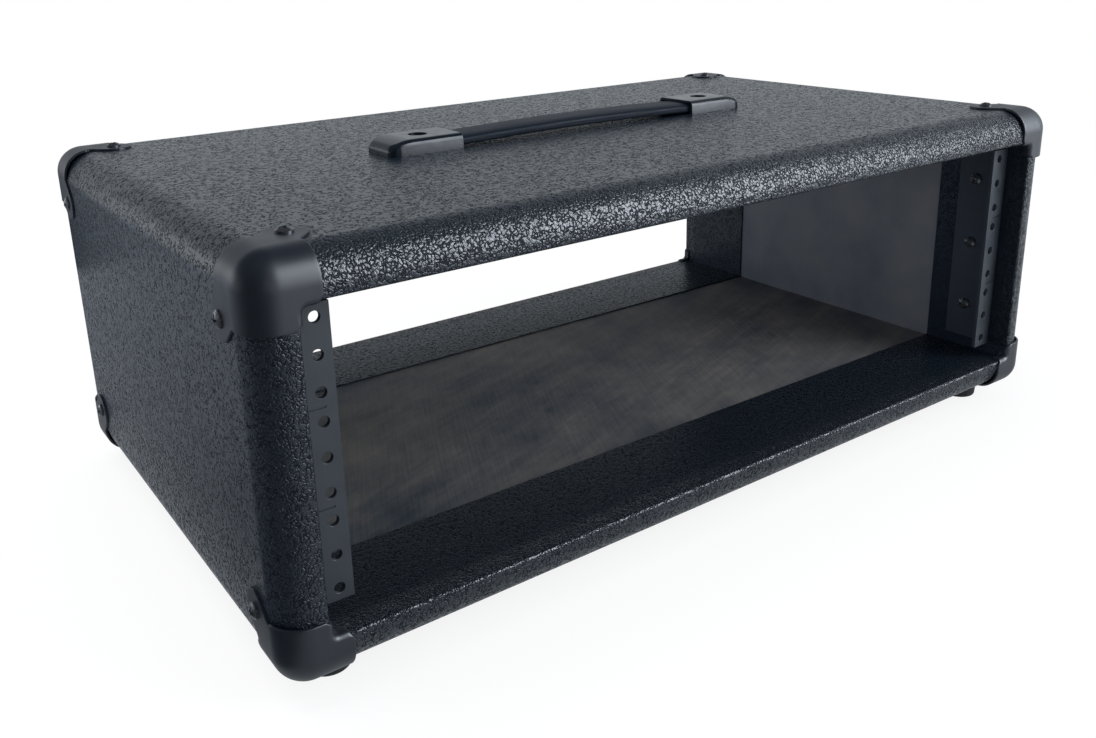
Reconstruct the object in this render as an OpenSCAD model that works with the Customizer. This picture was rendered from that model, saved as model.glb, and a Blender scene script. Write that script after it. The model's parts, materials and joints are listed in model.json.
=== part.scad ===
// Tabletop rack case: a plywood sleeve wrapped in grained vinyl, open at front and back,
// with moulded corner protectors, a strap handle, rubber feet and two punched rack rails.
// The case stands on its feet at Z = 0, centred on X and Y, with its front face towards -Y.

/* [Rack bay] */
// Number of rack units between the rails
rack_units = 3; // [2:1:6]
// Height of one rack unit
unit_h = 44.45; // [44:0.05:45]
// Distance between the two columns of rack holes
hole_span = 465.1; // [462:0.1:468]
// Diameter of a rack hole
hole_d = 4.9; // [4.5:0.1:7.5]
// Width of the bevel round the front of a rack hole
hole_bevel = 0.2; // [0.2:0.1:0.8]
// Distance from a column of rack holes to the side wall
hole_edge = 10.7; // [9.5:0.05:20]
// Height of the bay beyond the rack units
bay_spare = 11.25; // [5:0.05:40]

/* [Case] */
// Depth of the case from front face to rear face
case_d = 309; // [240:0.5:420]
// Thickness of the plywood boards
board_t = 18; // [16:0.5:22]
// Thickness of the vinyl covering
vinyl_t = 1; // [0.8:0.1:1.4]
// Radius of the long outer edges of the case
edge_r = 17; // [16:0.5:18]
// Radius of the covering round the edge of each opening
mouth_r = 1.5; // [0.5:0.1:1.8]
// Depth to which the covering is folded in at the front
front_lip = 60.5; // [48:0.5:75]
// Depth to which the covering is folded in at the rear
rear_lip = 67; // [48:0.5:75]

/* [Rails] */
// Thickness of the rail steel
rail_t = 2; // [1.5:0.1:3]
// Distance from a column of rack holes to the rail's inner edge
rail_lip = 6.45; // [5:0.05:8]
// Depth of the rail flange that lies on the side wall
rail_depth = 32; // [28:1:42]
// Outer radius of the fold in the rail
rail_bend_r = 3.2; // [3:0.1:4]
// Length of rail left out of the full height of the rack units
rail_trim = 1.4; // [0.5:0.1:4]
// Distance of the rail face behind the front face of the case
rail_setback = 13.1; // [8:0.1:18]
// Height of the rails' middle above the middle of the bay
rail_rise = 1.6; // [-1.8:0.1:1.8]
// Distance of the rail screws behind the rail face
rail_screw_in = 20; // [15:0.5:23]
// Distance between neighbouring rail screws
rail_screw_pitch = 43; // [30:0.5:44]
// Depth of the line stamped between two rack units
mark_depth = 0.4; // [0.2:0.1:0.8]
// Width of the line stamped between two rack units
mark_w = 0.9; // [0.6:0.1:1.5]
// Length of the line stamped between two rack units
mark_l = 9; // [6:0.5:11]

/* [Corner protectors] */
// Sheet thickness of a corner protector
corner_t = 1.2; // [0.8:0.1:1.8]
// Inner radius of a corner protector's edges
corner_r = 13.6; // [12.6:0.2:15.8]
// Reach of a corner protector along the case edges
corner_arm = 29.8; // [28:0.2:33]
// Distance of an ear's screw from both neighbouring faces
ear_in = 28; // [27:0.2:30]
// Radius of an ear round its screw
ear_r = 9.6; // [8.6:0.2:10.6]
// Radius in the inner corner of the front plate
notch_r = 5; // [3:0.5:6]
// Distance by which the front plate stands past the edge of the opening
edge_over = 0.4; // [0:0.1:0.6]

/* [Handle] */
// Length of the handle over both end caps
handle_l = 260.5; // [230:0.5:300]
// Length of an end cap
cap_l = 44.5; // [42:0.5:48]
// Width of an end cap
cap_w = 31.5; // [31:0.5:36]
// Height of an end cap
cap_h = 8.4; // [8:0.1:11]
// Wall of an end cap
cap_wall = 1.5; // [1.2:0.1:1.8]
// Corner radius of an end cap seen from above
cap_corner_r = 6; // [4.5:0.5:8]
// Radius of an end cap's upper edges
cap_edge_r = 3.4; // [2:0.1:3.8]
// Length of the sloping nose at a cap's outer end
cap_nose_l = 14; // [10:0.5:15.5]
// Radius of the sloping nose at a cap's outer end
cap_nose_r = 29; // [24:0.5:40]
// Distance of a cap screw from the cap's rounded end
cap_screw_in = 24.6; // [20:0.2:28]
// Width of the strap
strap_w = 26; // [23:0.5:27]
// Thickness of the strap
strap_t = 6; // [5:0.1:6.1]
// Radius of the strap's upper edges
strap_edge_r = 3.8; // [2:0.1:4]
// Rise of the strap between its end caps
strap_rise = 1.6; // [1:0.1:6]
// Width of the strap's flat ends inside the caps
tongue_w = 22; // [18:0.5:22.5]
// Thickness of the strap's flat ends inside the caps
tongue_t = 3; // [2:0.1:3.5]

/* [Feet] */
// Upper diameter of a rubber foot
foot_d = 23; // [21:0.5:24]
// Height of a rubber foot
foot_h = 10; // [8:0.2:16]
// Reduction of the foot's diameter towards its sole
foot_draft = 0.6; // [0.3:0.1:2]
// Radius of the sole's edge
foot_edge_r = 1.6; // [0.8:0.1:2.5]
// Diameter of the screw well in a foot
foot_well_d = 10; // [9.6:0.2:12]
// Thickness of rubber between the well and the case
foot_floor = 3.6; // [3:0.1:4.5]

/* [Fasteners] */
// Diameter of a wood screw
screw_d = 3.6; // [3:0.1:4]
// Head diameter of a wood screw
screw_head_d = 7.6; // [7:0.1:8.2]
// Head height of a wood screw
screw_head_h = 2.3; // [1.8:0.1:2.6]
// Length of a wood screw under its head
screw_l = 15; // [12:0.5:16]
// Diameter of a handle screw
bolt_d = 5; // [4:0.1:5.5]
// Head diameter of a handle screw
bolt_head_d = 10; // [9:0.1:10.4]
// Head height of a handle screw
bolt_head_h = 2; // [1.6:0.1:2.6]
// Flange diameter of a tee nut
nut_flange_d = 17; // [15:0.5:20]
// Flange thickness of a tee nut
nut_flange_t = 1.4; // [1:0.1:2]
// Barrel diameter of a tee nut
nut_barrel_d = 6.6; // [6.4:0.1:8]
// Barrel length of a tee nut
nut_barrel_l = 9; // [6:0.5:12]
// Outer diameter of a foot's washer
washer_d = 9.2; // [8.6:0.1:9.4]
// Thickness of a foot's washer
washer_t = 1; // [0.8:0.1:1.4]
// Length of a foot's screw under its head
foot_screw_l = 20; // [17:0.5:20]

/* [Fit] */
// Clearance all round a screw in its hole
screw_fit = 0.1; // [0.05:0.05:0.3]
// Clearance between a handle cap and the strap
strap_fit = 0.3; // [0.1:0.05:0.5]
// Clearance round a screw head in its seat
head_fit = 0.4; // [0.2:0.1:0.6]

/* [Hidden] */
$fn = 64;
cut = 1;
ball_slack = 0.3;
wall = board_t + 2 * vinyl_t;
bay_w = hole_span + 2 * hole_edge;
bay_h = rack_units * unit_h + bay_spare;
case_w = bay_w + 2 * wall;
case_h = bay_h + 2 * wall;
case_z0 = foot_h + corner_t;
case_z1 = case_z0 + case_h;
case_zm = case_z0 + case_h / 2;
front_y = -case_d / 2;
rear_y = case_d / 2;
half_w = case_w / 2;
half_bay = bay_w / 2;

hole_steps = [unit_h / 7, unit_h / 2, unit_h * 6 / 7];
rail_l = rack_units * unit_h - rail_trim;
rail_y = front_y + rail_setback;
rail_zm = case_zm + rail_rise;
rail_unit0 = rail_zm - rack_units * unit_h / 2;
rail_screw_rows = [for (i = [0 : rack_units - 1]) (i - (rack_units - 1) / 2) * rail_screw_pitch];

screw_hole_d = screw_d + 2 * screw_fit;
bolt_hole_d = bolt_d + 2 * screw_fit;
head_rim = 0.8;
recess_l = 0.62;
recess_w = 0.16;
recess_depth = 0.5;
tip_l = 4;
bolt_chamfer = 0.6;

handle_y = 0;
cap_x0 = handle_l / 2 - cap_l;
bolt_x = handle_l / 2 - cap_screw_in;
pocket_w = strap_w + 2 * strap_fit;
pocket_h = cap_h - cap_wall;
strap_low = pocket_h - strap_fit - strap_t;
strap_half = cap_x0 + strap_edge_r;
strap_arc_r = strap_half * strap_half / (2 * strap_rise) + strap_rise / 2;
strap_arc_a = asin(strap_half / strap_arc_r);
tongue_end = bolt_x + bolt_head_d;
bolt_seat = pocket_h - bolt_head_h + cap_wall / 2;
boss_d = bolt_head_d + 2 * head_fit + 2 * cap_wall;
bolt_l = bolt_seat + wall - vinyl_t;

corner_ends = [-1, 1];
foot_seat = foot_h - foot_floor;
foot_bite = foot_screw_l - washer_t - foot_floor - corner_t;

wood = "#2b2927";
vinyl = "#1d1f22";
satin = "#17181a";
powder = "#26282b";
blacked = "#101113";
rubber = "#131314";
zinc = "#8b8d8f";

// Point where a line from p touches the circle of radius r round c, on the given side
function touch(p, c, r, side) =
    let (
        d = c - p,
        l = norm(d),
        a = atan2(d[1], d[0]) + side * asin(r / l)
    )
    p + sqrt(l * l - r * r) * [cos(a), sin(a)];

// Radius of the dome that rises s over a chord of width w
function dome_r(w, s) = (w * w / 4 + s * s) / (2 * s);

// What lies outside a rounded edge along Z, for an edge at the origin
module edge_waste(r, l) {
    linear_extrude(l, center = true)
        difference() {
            translate([-cut, -cut]) square(r + cut);
            translate([r, r]) circle(r);
        }
}

// What lies outside the ball where three rounded edges meet, for a corner at the origin
module ball_waste(r) {
    difference() {
        translate([-cut, -cut, -cut]) cube(r + cut);
        translate([r, r, r]) sphere(r + ball_slack);
    }
}

// Four rounded edges along Z of a block w by d
module four_edges(w, d, r, l) {
    for (sx = [0, 1], sy = [0, 1])
        mirror([sx, 0, 0]) mirror([0, sy, 0])
            translate([-w / 2, -d / 2]) edge_waste(r, l);
}

// The case as one block with rounded edges, set in by a skin thickness
module case_block(skin) {
    w = case_w - 2 * skin;
    d = case_d - 2 * skin;
    h = case_h - 2 * skin;
    r = edge_r - skin;
    translate([0, 0, case_zm])
        difference() {
            cube([w, d, h], center = true);
            four_edges(w, d, r, h + 2 * cut);
            rotate([90, 0, 90]) four_edges(d, h, r, w + 2 * cut);
            rotate([90, 0, 0]) four_edges(w, h, r, d + 2 * cut);
            for (sx = [0, 1], sy = [0, 1], sz = [0, 1])
                mirror([sx, 0, 0]) mirror([0, sy, 0]) mirror([0, 0, sz])
                    translate([-w / 2, -d / 2, -h / 2]) ball_waste(r);
        }
}

// The bay through the case, widened by a skin thickness, between two depths
module bay_block(skin, y0, y1) {
    translate([-half_bay - skin, y0, case_zm - bay_h / 2 - skin])
        cube([bay_w + 2 * skin, y1 - y0, bay_h + 2 * skin]);
}

// Moves a shape to each rounded corner of the case: a, b and c point into the case
module at_corner(sx, sy, sz) {
    translate([sx * half_w, sy * case_d / 2, sz > 0 ? case_z1 : case_z0])
        mirror([sx > 0 ? 1 : 0, 0, 0]) mirror([0, sy > 0 ? 1 : 0, 0]) mirror([0, 0, sz > 0 ? 1 : 0])
            children();
}

// Turns a, b, c into b, c, a
module next_face() {
    rotate([90, 0, 90]) children();
}

// Screw axis of an ear, with the outside of the case upwards
module at_ear() {
    translate([ear_in, ear_in, 0]) mirror([0, 0, 1]) children();
}

// Screw with a domed head and a cross recess: its head stands on Z = 0 and its shank hangs down.
// A tip longer than the shank's radius ends in a point, a shorter one is a chamfer
module screw(head_d, head_h, d, l, tip) {
    dome = dome_r(head_d, head_h - head_rim);
    end_r = max(0, d / 2 - tip);
    tail = end_r > 0 ? [[end_r, -l], [0, -l]] : [[0, -l]];
    difference() {
        union() {
            rotate_extrude()
                intersection() {
                    square([head_d / 2, head_h]);
                    translate([0, head_h - dome]) circle(dome);
                }
            rotate_extrude()
                polygon(concat([[0, 0], [d / 2, 0], [d / 2, tip - l]], tail));
        }
        for (turn = [0, 90])
            rotate([0, 0, turn]) translate([0, 0, head_h])
                cube([recess_l * head_d, recess_w * head_d, 2 * recess_depth * head_h], center = true);
    }
}

// Hole for a screw along Z, from above the seat down to past its tip
module screw_hole(d, top, l) {
    translate([0, 0, -l - screw_fit]) cylinder(d = d, h = l + top + screw_fit);
}

// Holes of all the corner and foot screws
module ear_holes() {
    for (sx = corner_ends, sy = corner_ends, sz = corner_ends)
        at_corner(sx, sy, sz) {
            at_ear() screw_hole(screw_hole_d, corner_t + cut, sz > 0 ? screw_l - corner_t : foot_bite);
            next_face() at_ear() screw_hole(screw_hole_d, corner_t + cut, screw_l - corner_t);
        }
}

// Places the rail screws of the right-hand rail, heads towards the bay
module at_rail_screws() {
    for (dz = rail_screw_rows)
        translate([half_bay - rail_t, rail_y + rail_screw_in, rail_zm + dz]) rotate([0, -90, 0]) children();
}

module rail_screw_holes() {
    for (side = [0, 1])
        mirror([side, 0, 0]) at_rail_screws() screw_hole(screw_hole_d, cut, screw_l);
}

// Places a shape at both handle screws, on top of the case
module at_bolts() {
    for (side = corner_ends)
        translate([side * bolt_x, handle_y, case_z1]) children();
}

// Clearance for the handle screws and the barrels of their tee nuts
module bolt_holes() {
    at_bolts() {
        translate([0, 0, -wall - cut]) cylinder(d = bolt_hole_d, h = wall + 2 * cut);
        translate([0, 0, vinyl_t - wall - cut])
            cylinder(d = nut_barrel_d + 2 * screw_fit, h = nut_barrel_l + screw_fit + cut);
    }
}

// Boards

// Part of the plywood sleeve inside a slab
module board(size, pos) {
    color(wood)
        difference() {
            intersection() {
                case_block(vinyl_t);
                translate(pos) cube(size, center = true);
            }
            ear_holes();
            rail_screw_holes();
            bolt_holes();
        }
}

module top_board() {
    board([case_w, case_d, board_t], [0, 0, case_z1 - vinyl_t - board_t / 2]);
}

module bottom_board() {
    board([case_w, case_d, board_t], [0, 0, case_z0 + vinyl_t + board_t / 2]);
}

module side_board(side) {
    board([board_t, case_d, bay_h + 2 * vinyl_t], [side * (half_w - vinyl_t - board_t / 2), 0, case_zm]);
}

module left_board() {
    side_board(-1);
}

module right_board() {
    side_board(1);
}

// Covering

// What lies outside the rounded edge of the covering round an opening
module mouth_waste() {
    for (turn = [0, 180])
        rotate([0, turn, 0]) {
            translate([half_bay, 0, 0]) mouth_edge(bay_h);
            translate([0, 0, bay_h / 2]) rotate([0, -90, 0]) mouth_edge(bay_w);
        }
}

// One straight edge of an opening along Z, with the covering on its +X, +Y side
module mouth_edge(l) {
    edge_waste(mouth_r, l);
}

module vinyl_covering() {
    color(vinyl)
        difference() {
            case_block(0);
            bay_block(0, front_y - cut, rear_y + cut);
            bay_block(vinyl_t, front_y + front_lip, rear_y - rear_lip);
            difference() {
                case_block(vinyl_t);
                bay_block(vinyl_t, front_y - cut, rear_y + cut);
            }
            for (side = [0, 1])
                mirror([0, side, 0]) translate([0, front_y, case_zm]) mouth_waste();
            ear_holes();
            rail_screw_holes();
            bolt_holes();
        }
}

// Rails

// Section of the right-hand rail, seen from above
module rail_section() {
    flange_w = hole_edge + rail_lip;
    translate([half_bay, rail_y]) {
        translate([-flange_w, 0]) square([flange_w - rail_bend_r, rail_t]);
        translate([-rail_t, rail_bend_r]) square([rail_t, rail_depth - rail_bend_r]);
        translate([-rail_bend_r, rail_bend_r])
            intersection() {
                difference() {
                    circle(rail_bend_r);
                    circle(rail_bend_r - rail_t);
                }
                translate([0, -rail_bend_r]) square(rail_bend_r);
            }
    }
}

// Rack hole along Z with a bevelled front edge, which lies at a height of one cut
module rack_hole() {
    hole_r = hole_d / 2;
    cylinder(d = hole_d, h = rail_t + 2 * cut);
    rotate_extrude()
        polygon([[0, 0], [hole_r + hole_bevel + cut, 0], [hole_r, hole_bevel + cut], [0, hole_bevel + cut]]);
}

module right_rail_solid() {
    difference() {
        translate([0, 0, rail_zm - rail_l / 2]) linear_extrude(rail_l) rail_section();
        for (unit = [0 : rack_units - 1], step = hole_steps)
            translate([hole_span / 2, rail_y - cut, rail_unit0 + unit * unit_h + step])
                rotate([-90, 0, 0]) rack_hole();
        for (unit = [1 : rack_units - 1])
            translate([half_bay - rail_bend_r - mark_l, rail_y - cut, rail_unit0 + unit * unit_h])
                translate([0, 0, -mark_w / 2]) cube([mark_l, cut + mark_depth, mark_w]);
        at_rail_screws() screw_hole(screw_hole_d, cut, screw_l);
    }
}

module right_rack_rail() {
    color(powder) right_rail_solid();
}

module left_rack_rail() {
    color(powder) mirror([1, 0, 0]) right_rail_solid();
}

module rail_screws() {
    color(blacked)
        for (side = [0, 1])
            mirror([side, 0, 0]) at_rail_screws() screw(screw_head_d, screw_head_h, screw_d, screw_l, tip_l);
}

// Corner protectors

// Plate that carries an ear, seen square on from the corner of the case
module ear_outline() {
    ear = [ear_in, ear_in];
    difference() {
        union() {
            polygon([
                [corner_r, corner_r],
                [corner_arm, corner_r],
                touch([corner_arm, corner_r], ear, ear_r, -1),
                ear,
                touch([corner_r, corner_arm], ear, ear_r, 1),
                [corner_r, corner_arm]
            ]);
            translate(ear) circle(ear_r);
        }
        translate(ear) circle(d = screw_hole_d);
    }
}

// Plate over the edges of two boards, with a rounded inner corner at the opening
module edge_outline() {
    edge_w = wall + edge_over;
    fillet = min(notch_r, corner_arm - edge_w);
    difference() {
        polygon([
            [corner_r, corner_r],
            [corner_arm, corner_r],
            [corner_arm, edge_w],
            [edge_w + fillet, edge_w],
            [edge_w, edge_w + fillet],
            [edge_w, corner_arm],
            [corner_r, corner_arm]
        ]);
        translate([edge_w + fillet, edge_w + fillet]) circle(fillet);
    }
}

// Quarter round along one edge of the case
module edge_bend() {
    translate([corner_r, corner_r, corner_r])
        rotate([0, 0, 180]) rotate_extrude(angle = 90)
            translate([corner_r, 0]) square([corner_t, corner_arm - corner_r]);
}

// Eighth of a hollow ball where the three edges meet
module corner_ball() {
    outer = corner_r + corner_t;
    translate([corner_r, corner_r, corner_r])
        mirror([0, 0, 1]) rotate([0, 0, 180]) rotate_extrude(angle = 90)
            intersection() {
                difference() {
                    circle(outer);
                    circle(corner_r);
                }
                square(outer);
            }
}

// Corner protector in the directions a, b and c of its corner; its edge plate faces along b
module corner_protector(sx, sy, sz) {
    color(satin)
        at_corner(sx, sy, sz) {
            corner_ball();
            edge_bend();
            next_face() edge_bend();
            next_face() next_face() edge_bend();
            mirror([0, 0, 1]) linear_extrude(corner_t) ear_outline();
            next_face() mirror([0, 0, 1]) linear_extrude(corner_t) ear_outline();
            rotate([90, 0, 0]) linear_extrude(corner_t) edge_outline();
        }
}

module corner_front_top_left() {
    corner_protector(-1, -1, 1);
}

module corner_front_top_right() {
    corner_protector(1, -1, 1);
}

module corner_front_bottom_left() {
    corner_protector(-1, -1, -1);
}

module corner_front_bottom_right() {
    corner_protector(1, -1, -1);
}

module corner_rear_top_left() {
    corner_protector(-1, 1, 1);
}

module corner_rear_top_right() {
    corner_protector(1, 1, 1);
}

module corner_rear_bottom_left() {
    corner_protector(-1, 1, -1);
}

module corner_rear_bottom_right() {
    corner_protector(1, 1, -1);
}

// Screws on the sides of all eight protectors and on top of the upper four
module corner_screws() {
    color(blacked)
        for (sx = corner_ends, sy = corner_ends, sz = corner_ends)
            at_corner(sx, sy, sz) {
                next_face() at_ear() translate([0, 0, corner_t])
                    screw(screw_head_d, screw_head_h, screw_d, screw_l, tip_l);
                if (sz > 0)
                    at_ear() translate([0, 0, corner_t])
                        screw(screw_head_d, screw_head_h, screw_d, screw_l, tip_l);
            }
}

// Handle

// Section of a cap's outer rim: height cap_h, width cap_corner_r, rounded at the outer upper edge
module cap_rim() {
    square([cap_corner_r - cap_edge_r, cap_h]);
    square([cap_corner_r, cap_h - cap_edge_r]);
    translate([cap_corner_r - cap_edge_r, cap_h - cap_edge_r])
        intersection() {
            circle(cap_edge_r);
            square(cap_edge_r);
        }
}

// Right-hand cap without its hollow: open end at cap_x0, rounded end at handle_l / 2
module cap_block() {
    core_l = cap_l - cap_corner_r;
    core_w = cap_w - 2 * cap_corner_r;
    translate([cap_x0, 0, 0]) {
        translate([0, -core_w / 2, 0]) cube([core_l, core_w, cap_h]);
        translate([core_l, core_w / 2, 0]) rotate([90, 0, 0]) linear_extrude(core_w) cap_rim();
        for (side = [0, 1])
            mirror([0, side, 0]) translate([0, core_w / 2, 0]) {
                rotate([90, 0, 90]) linear_extrude(core_l) cap_rim();
                translate([core_l, 0, 0]) rotate_extrude(angle = 90) cap_rim();
            }
    }
}

// What lies above the nose of the right-hand cap
module nose_waste() {
    translate([handle_l / 2 - cap_nose_l, 0, cap_h])
        rotate([90, 0, 0]) linear_extrude(cap_w + 2 * cut, center = true)
            difference() {
                translate([0, -cap_h]) square([cap_nose_l + cut, cap_h + cut]);
                translate([0, -cap_nose_r]) circle(cap_nose_r, $fn = 360);
            }
}

module handle_cap(side) {
    color(satin)
        translate([0, handle_y, case_z1]) mirror([side < 0 ? 1 : 0, 0, 0])
            difference() {
                cap_block();
                nose_waste();
                difference() {
                    translate([cap_x0 - cut, -pocket_w / 2, -cut])
                        cube([tongue_end + strap_fit - cap_x0 + cut, pocket_w, pocket_h + cut]);
                    translate([bolt_x, 0, tongue_t]) cylinder(d = boss_d, h = cap_h);
                }
                translate([bolt_x, 0, -cut]) cylinder(d = bolt_hole_d, h = cap_h + cut);
                translate([bolt_x, 0, bolt_seat]) cylinder(d = bolt_head_d + 2 * head_fit, h = cap_h);
            }
}

module handle_cap_left() {
    handle_cap(-1);
}

module handle_cap_right() {
    handle_cap(1);
}

// Section of the strap: flat below, rounded at both upper edges
module strap_section() {
    r = strap_edge_r;
    translate([0, -strap_w / 2]) square([strap_t - r, strap_w]);
    translate([0, r - strap_w / 2]) square([strap_t, strap_w - 2 * r]);
    for (side = [0, 1])
        mirror([0, side]) translate([strap_t - r, strap_w / 2 - r])
            intersection() {
                circle(r);
                square(r);
            }
}

module handle_strap() {
    color(blacked)
        translate([0, handle_y, case_z1])
            difference() {
                union() {
                    translate([0, 0, strap_low + strap_rise - strap_arc_r])
                        rotate([90, 90 - strap_arc_a, 180]) mirror([1, 0, 0])
                            rotate_extrude(angle = 2 * strap_arc_a, $fn = 360)
                                translate([strap_arc_r, 0]) strap_section();
                    for (side = [0, 1])
                        mirror([side, 0, 0]) translate([cap_x0, -tongue_w / 2, 0])
                            cube([tongue_end - cap_x0, tongue_w, tongue_t]);
                }
                for (side = corner_ends)
                    translate([side * bolt_x, 0, -cut]) cylinder(d = bolt_hole_d, h = tongue_t + 2 * cut);
            }
}

module handle_screws() {
    color(blacked)
        at_bolts() translate([0, 0, bolt_seat]) screw(bolt_head_d, bolt_head_h, bolt_d, bolt_l, bolt_chamfer);
}

module handle_tee_nuts() {
    color(zinc)
        at_bolts() translate([0, 0, vinyl_t - wall])
            difference() {
                union() {
                    translate([0, 0, -nut_flange_t]) cylinder(d = nut_flange_d, h = nut_flange_t);
                    cylinder(d = nut_barrel_d, h = nut_barrel_l);
                }
                translate([0, 0, -nut_flange_t - cut])
                    cylinder(d = bolt_hole_d, h = nut_flange_t + nut_barrel_l + 2 * cut);
            }
}

// Feet

// Places a shape under a foot's ear, with Z = 0 on the floor
module at_foot(sx, sy) {
    translate([sx * (half_w - ear_in), sy * (case_d / 2 - ear_in), 0]) children();
}

// Section of a foot: a drafted side with a rounded sole and a stepped bore
module foot_section() {
    top_r = foot_d / 2;
    sole_r = top_r - foot_draft;
    well_r = foot_well_d / 2;
    bore_r = screw_hole_d / 2;
    difference() {
        union() {
            polygon([[0, foot_edge_r], [sole_r, foot_edge_r], [top_r, foot_h], [0, foot_h]]);
            square([sole_r - foot_edge_r, foot_h]);
            translate([sole_r - foot_edge_r, foot_edge_r]) circle(foot_edge_r);
        }
        translate([-well_r, -cut]) square([2 * well_r, foot_seat + cut]);
        translate([-bore_r, -cut]) square([2 * bore_r, foot_h + 2 * cut]);
    }
}

module foot(sx, sy) {
    color(rubber) at_foot(sx, sy) rotate_extrude() foot_section();
}

module foot_front_left() {
    foot(-1, -1);
}

module foot_front_right() {
    foot(1, -1);
}

module foot_rear_left() {
    foot(-1, 1);
}

module foot_rear_right() {
    foot(1, 1);
}

module foot_washers() {
    color(zinc)
        for (sx = corner_ends, sy = corner_ends)
            at_foot(sx, sy) translate([0, 0, foot_seat - washer_t])
                difference() {
                    cylinder(d = washer_d, h = washer_t);
                    translate([0, 0, -cut]) cylinder(d = screw_hole_d, h = washer_t + 2 * cut);
                }
}

module foot_screws() {
    color(zinc)
        for (sx = corner_ends, sy = corner_ends)
            at_foot(sx, sy) translate([0, 0, foot_seat - washer_t]) mirror([0, 0, 1])
                screw(screw_head_d, screw_head_h, screw_d, foot_screw_l, tip_l);
}

top_board();
bottom_board();
left_board();
right_board();
vinyl_covering();
left_rack_rail();
right_rack_rail();
rail_screws();
corner_front_top_left();
corner_front_top_right();
corner_front_bottom_left();
corner_front_bottom_right();
corner_rear_top_left();
corner_rear_top_right();
corner_rear_bottom_left();
corner_rear_bottom_right();
corner_screws();
handle_cap_left();
handle_cap_right();
handle_strap();
handle_screws();
handle_tee_nuts();
foot_front_left();
foot_front_right();
foot_rear_left();
foot_rear_right();
foot_washers();
foot_screws();
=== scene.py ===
"""Looks of a tabletop rack case: grained vinyl over plywood, moulded corner protectors, a strap handle,
rubber feet and two punched rack rails. Metres, +Z up, front opening towards -Y."""

import json
import math

import bmesh
import bpy
import numpy as np
from mathutils import Matrix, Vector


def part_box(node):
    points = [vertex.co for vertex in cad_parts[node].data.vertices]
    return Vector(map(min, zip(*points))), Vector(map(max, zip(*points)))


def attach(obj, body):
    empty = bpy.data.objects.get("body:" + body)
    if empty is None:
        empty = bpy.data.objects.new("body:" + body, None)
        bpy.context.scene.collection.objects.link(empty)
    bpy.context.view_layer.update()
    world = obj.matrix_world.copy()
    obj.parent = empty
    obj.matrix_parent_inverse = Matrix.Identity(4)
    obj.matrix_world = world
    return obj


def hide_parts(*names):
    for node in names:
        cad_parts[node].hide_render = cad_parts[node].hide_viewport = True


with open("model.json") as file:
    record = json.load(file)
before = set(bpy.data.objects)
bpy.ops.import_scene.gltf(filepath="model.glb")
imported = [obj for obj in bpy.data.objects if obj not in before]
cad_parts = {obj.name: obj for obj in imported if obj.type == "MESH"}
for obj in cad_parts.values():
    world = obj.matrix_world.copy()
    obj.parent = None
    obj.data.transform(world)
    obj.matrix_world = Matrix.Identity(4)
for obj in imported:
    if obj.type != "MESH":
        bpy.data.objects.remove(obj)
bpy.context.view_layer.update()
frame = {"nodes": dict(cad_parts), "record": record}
MM = 0.001
scene = bpy.context.scene


# Colour and node helpers

def linear(hex_colour):
    """sRGB hex to linear RGBA: each channel is c / 12.92 below 0.04045, else ((c + 0.055) / 1.055) ** 2.4."""
    c = np.array([int(hex_colour[i:i + 2], 16) for i in (0, 2, 4)]) / 255
    rgb = np.where(c <= 0.04045, c / 12.92, ((c + 0.055) / 1.055) ** 2.4)
    return (*rgb.tolist(), 1.0)


def per_mm(size_mm):
    """Texture scale at which one cell of the pattern is size_mm wide, for coordinates in metres."""
    return 1 / (size_mm * MM)


SMOOTH, COLOURS = {"interpolation_type": "SMOOTHSTEP"}, {"data_type": "RGBA"}
TURN_FIRST = {"vector_type": "TEXTURE"}
TIMES, TIMES_PLUS = {"operation": "MULTIPLY"}, {"operation": "MULTIPLY_ADD"}
LARGER, UNSIGNED = {"operation": "MAXIMUM"}, {"operation": "ABSOLUTE"}


def add(tree, kind, settings=None, **sockets):
    """Adds one node to a tree, sets its settings, and fills its sockets with values or links; a node given
    as a value stands for its first output. A socket is named by its label with _ for spaces, or by i and
    its number where labels repeat."""
    made = tree.nodes.new(kind)
    for name, value in (settings or {}).items():
        setattr(made, name, value)
    for name, value in sockets.items():
        key = int(name[1:]) if name[0] == "i" and name[1:].isdigit() else name.replace("_", " ")
        source = value.outputs[0] if isinstance(value, bpy.types.Node) else value
        if isinstance(source, bpy.types.NodeSocket):
            tree.links.new(source, made.inputs[key])
        else:
            made.inputs[key].default_value = source
    return made


def finish_of(name, colour, roughness, **shader):
    """A new material with a Principled shader and its plain values; returns (material, tree, shader)."""
    material = bpy.data.materials.new(name)
    material.use_nodes = True
    tree = material.node_tree
    tree.nodes.clear()
    principled = add(tree, "ShaderNodeBsdfPrincipled", Base_Color=linear(colour), Roughness=roughness,
                     **shader)
    add(tree, "ShaderNodeOutputMaterial", Surface=principled)
    material.diffuse_color = linear(colour)
    return material, tree, principled


# Materials

NOISE_LOW, NOISE_HIGH = 0.3, 0.7
PEBBLE_MM, WARP_MM, MERGE_MM, WRINKLE_MM, GRAIN_H_MM = 1.9, 2.2, 2.6, 0.8, 0.15
DRAWN_FROM, DRAWN_TO = 140 * MM, 148 * MM


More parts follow.
